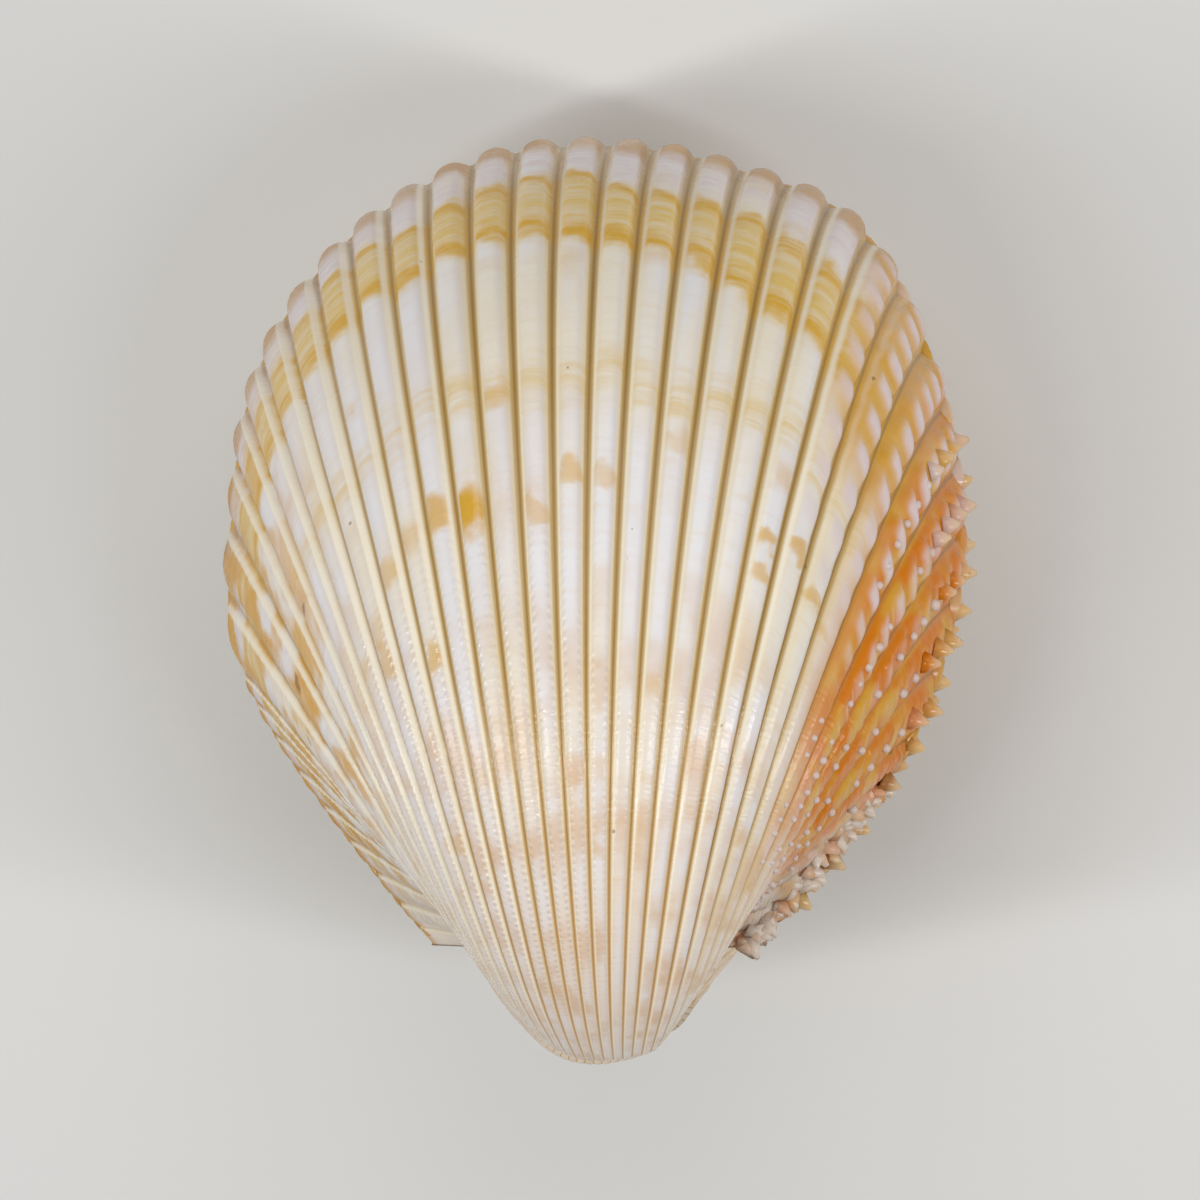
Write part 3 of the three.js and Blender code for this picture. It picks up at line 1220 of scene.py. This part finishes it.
    def _add_knobs(self, valve: bmesh.types.BMesh) -> None:
        """Grow teeth and beads in rows along the posterior ribs, and the crust behind them.

        Args:
            valve: The valve's mesh.
        """
        mesh = bmesh.new()
        layer = mesh.loops.layers.uv.new("growth")
        mesh.verts.layers.float.new("knob")
        for rib in self.spined_ribs:
            place = (rib + 0.5 + self.shift) / RIBS
            if place >= self.knobs_end:
                continue
            travelled = self.spine_spacing * (0.35 if rib % 2 else 0.8)
            before = self.growth.carry(self.growth.outline(place, self.rib_height), 0.0, 1.0)
            for step in range(1, round(self.last_bead / self.knob_step)):
                degrees = step * self.knob_step
                size = self.growth.size(degrees)
                crest = self.growth.carry(self.growth.outline(place, self.rib_height), degrees, size)
                travelled += (crest - before).length / size
                back = (crest - before).normalized()
                before = crest
                if travelled < self.spine_spacing or degrees < self.first_tooth:
                    continue
                travelled = self.spine_spacing * 0.25 * noise_at(rib * 3.1, degrees, 2.0)
                toothed = degrees < self.tooth_stages
                if toothed or noise_at(rib * 7.3, degrees * 1.9, 5.0) > -self.bead_share:
                    self._knob(mesh, layer, place, degrees, size, crest, back)
        self._add_crust(mesh, layer)
        knobs = bpy.data.meshes.new("knobs")
        mesh.to_mesh(knobs)
        mesh.free()
        valve.from_mesh(knobs)
        bpy.data.meshes.remove(knobs)

    def _add_crust(self, mesh: bmesh.types.BMesh, layer: object) -> None:
        """Pile rough flakes along the margin's rear end.

        Args:
            mesh: The mesh of the knobs.
            layer: Its growth map.
        """
        knob = mesh.verts.layers.float["knob"]
        draw = random.Random(self.crust_seed)
        for k in range(self.crust_flakes):
            share = (k + draw.random()) / self.crust_flakes
            place = self.crust_start + (self.crust_end - self.crust_start) * share
            degrees = draw.choice(self.crust_stages) + draw.random() * 2.0
            size = self.growth.size(degrees)
            foot = self.growth.carry(self.growth.outline(place, 0.0), degrees, size)
            outward = self.growth.carry(self.growth.outline(place, 1.0), degrees, size) - foot
            lean = outward.normalized() + Vector([draw.uniform(-0.7, 0.7) for _ in range(3)])
            radius = self.crust_radius * draw.uniform(0.6, 1.2)
            made = bmesh.ops.create_cone(
                mesh, cap_ends=True, cap_tris=True, segments=6, radius1=radius,
                radius2=radius * 0.25, depth=radius * 1.7)
            turn = lean.to_track_quat("Z", "Y").to_matrix().to_4x4()
            move = Matrix.Translation(foot + lean.normalized() * radius * 0.75) @ turn
            bmesh.ops.transform(mesh, matrix=move, verts=made["verts"])
            for vert in made["verts"]:
                shake = noise_at(vert.co.x * 2.3, vert.co.y * 2.3 + vert.co.z, 8.0)
                vert.co += outward * 0.35 * shake
                vert.co.z = max(vert.co.z, self.gap)
                vert[knob] = (Knob.PALE_FLAKE if k % 3 else Knob.PLAIN_FLAKE).value
                for loop in vert.link_loops:
                    loop[layer].uv = self._chart(place, degrees)

    def _knob(self, mesh: bmesh.types.BMesh, layer: object, place: float, degrees: float,
               size: float, crest: Vector, back: Vector) -> None:
        """Add one tooth or bead.

        Args:
            mesh: The mesh of the knobs.
            layer: Its growth map.
            place: Place on the margin.
            degrees: Swing angle.
            size: Size at that angle.
            crest: Where it stands.
            back: Direction toward the beak along the rib.
        """
        groove = self.growth.carry(self.growth.outline(place, 0.0), degrees, size)
        outward = crest - groove
        outward -= back * outward.dot(back)
        outward.normalize()
        crest = crest.lerp(groove, 0.5)
        vary = 1.0 + 0.35 * noise_at(place * 60.0, degrees * 0.8, 11.0)
        if degrees < self.tooth_stages:
            tall = self.tooth_height * size * vary
            made = bmesh.ops.create_cone(
                mesh, cap_ends=True, cap_tris=True, segments=8, radius2=0.16 * size,
                radius1=self.tooth_radius * size, depth=tall)
            lean = (outward - back * 0.5).normalized()
            crest = crest + lean * tall * 0.3
        else:
            radius = self.bead_radius * size ** 0.6 * vary
            made = bmesh.ops.create_uvsphere(mesh, u_segments=8, v_segments=6, radius=radius)
            lean = outward
            crest = crest + outward * radius * 0.35
        turn = lean.to_track_quat("Z", "Y").to_matrix().to_4x4()
        bmesh.ops.transform(mesh, matrix=Matrix.Translation(crest) @ turn, verts=made["verts"])
        knob = mesh.verts.layers.float["knob"]
        for vert in made["verts"]:
            kind = Knob.BEAD
            if degrees < self.tooth_stages:
                kind = Knob.TOOTH_TIP if (vert.co - crest).dot(lean) > 0.0 else Knob.TOOTH_BASE
            vert[knob] = kind.value
            for loop in vert.link_loops:
                loop[layer].uv = self._chart(place, degrees)


@dataclass
class Ligament:
    """The band of dried protein behind the beaks."""

    pose: Matrix
    length: float = 3.2
    radius: float = 0.78

    def build(self) -> bpy.types.Object:
        """Build the band.

        Returns:
            The finished object, in place.
        """
        mesh = bmesh.new()
        bmesh.ops.create_uvsphere(mesh, u_segments=24, v_segments=16, radius=1.0)
        for vert in mesh.verts:
            ripple = 1.0 - 0.08 * abs(noise_at(vert.co.x * 9.0, vert.co.z * 3.0, 4.0))
            vert.co = Vector((vert.co.x * self.length * 0.5, vert.co.y * self.radius * ripple,
                              vert.co.z * self.radius * ripple)) + Vector(LIGAMENT_CENTRE)
        bmesh.ops.scale(mesh, vec=(MM, MM, MM), verts=mesh.verts)
        bmesh.ops.transform(mesh, matrix=self.pose, verts=mesh.verts)
        return finish_mesh(mesh, "ligament_band")


@dataclass(frozen=True)
class Lamp:
    """A soft lamp: where it stands from the shell along the camera's axes, in metres."""

    name: str
    offset: tuple[float, float, float]
    size: tuple[float, float]
    power: float

    def place(self, frame: Matrix, target: Vector) -> None:
        """Place the lamp so that it faces the shell.

        Args:
            frame: Axes of the camera.
            target: What the lamp faces.
        """
        data = bpy.data.lights.new(self.name, "AREA")
        data.shape = "RECTANGLE"
        data.size, data.size_y = self.size
        data.energy = self.power
        lamp = bpy.data.objects.new(self.name, data)
        away = frame @ Vector(self.offset)
        turn = away.to_track_quat("Z", "Y").to_matrix().to_4x4()
        lamp.matrix_world = Matrix.Translation(target + away) @ turn
        bpy.context.collection.objects.link(lamp)


@dataclass
class Studio:
    """A pale floor, soft lamps and the camera."""

    pose: Matrix
    look_at: tuple[float, float, float] = (-1.2, 27.1, 0.0)
    pitch: float = -10.1
    yaw: float = -3.6
    distance: float = 340.0
    half_view: float = 46.4
    lamps: tuple[Lamp, ...] = (
        Lamp("key", (0.0, 0.24, 0.36), (0.4, 0.3), 0.5),
        Lamp("strip_left", (-0.24, -0.1, 0.26), (0.03, 0.36), 0.58),
        Lamp("strip_right", (0.24, -0.1, 0.26), (0.03, 0.36), 0.52),
    )
    sky: tuple[float, float, float, float] = (1.0, 0.99, 0.97, 1.0)
    sky_strength: float = 0.22
    floor_reach: float = 1.5
    floor_colour: tuple[float, float, float, float] = (0.78, 0.78, 0.77, 1.0)
    floor_roughness: float = 0.8

    def build(self) -> None:
        """Lay the floor and place the camera, the lamps and the sky."""
        self._floor()
        turn = (Matrix.Rotation(math.radians(self.yaw), 3, "Y")
                @ Matrix.Rotation(math.radians(self.pitch), 3, "X"))
        frame = self.pose.to_3x3() @ turn.transposed()
        target = self.pose @ (Vector(self.look_at) * MM)
        camera = bpy.data.objects.new("camera", bpy.data.cameras.new("camera"))
        camera.data.angle = 2.0 * math.atan(self.half_view / self.distance)
        camera.data.clip_start = 0.01
        stand = target + frame @ Vector((0.0, 0.0, self.distance * MM))
        camera.matrix_world = Matrix.Translation(stand) @ frame.to_4x4()
        bpy.context.collection.objects.link(camera)
        bpy.context.scene.camera = camera
        for lamp in self.lamps:
            lamp.place(frame, target)
        world = bpy.data.worlds.new("studio")
        world.use_nodes = True
        light = world.node_tree.nodes["Background"]
        light.inputs["Color"].default_value = self.sky
        light.inputs["Strength"].default_value = self.sky_strength
        bpy.context.scene.world = world
        bpy.context.scene.view_settings.view_transform = "Standard"

    def _floor(self) -> None:
        """Lay the floor at the shell's lowest point and give it a pale matt finish."""
        mesh = bmesh.new()
        bmesh.ops.create_grid(mesh, x_segments=1, y_segments=1, size=self.floor_reach)
        bmesh.ops.translate(mesh, vec=(0.0, 0.0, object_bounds()[0][2]), verts=mesh.verts)
        floor = finish_mesh(mesh, "floor")
        finish = bpy.data.materials.new("floor")
        finish.use_nodes = True
        shader = finish.node_tree.nodes["Principled BSDF"]
        shader.inputs["Base Color"].default_value = self.floor_colour
        shader.inputs["Roughness"].default_value = self.floor_roughness
        floor.data.materials.append(finish)
        floor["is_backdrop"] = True


def settle(piece: bpy.types.Object, finish: bpy.types.Material, node: str) -> None:
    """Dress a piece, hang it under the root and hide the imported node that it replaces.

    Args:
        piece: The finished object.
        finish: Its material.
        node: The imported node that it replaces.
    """
    piece.data.materials.append(finish)
    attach(piece, "root")
    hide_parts(node)
    LOG.info("%s: %d faces", piece.name, len(piece.data.polygons))


def main() -> None:
    """Build the shell and its studio."""
    logging.basicConfig(level=logging.INFO)
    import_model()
    pose = RestPose().matrix()
    growth = Growth()
    markings = ShellMarkings().build()
    upper = ShellFinish("upper_shell", markings).material()
    lower = ShellFinish("lower_shell", markings, ochre=0.35).material()
    settle(Valve(Side.RIGHT, growth, pose).build(), upper, "right_valve")
    settle(Valve(Side.LEFT, growth, pose).build(), lower, "left_valve")
    settle(Ligament(pose).build(), LigamentFinish().material(), "ligament")
    Studio(pose).build()


if __name__ == "__main__":
    main()
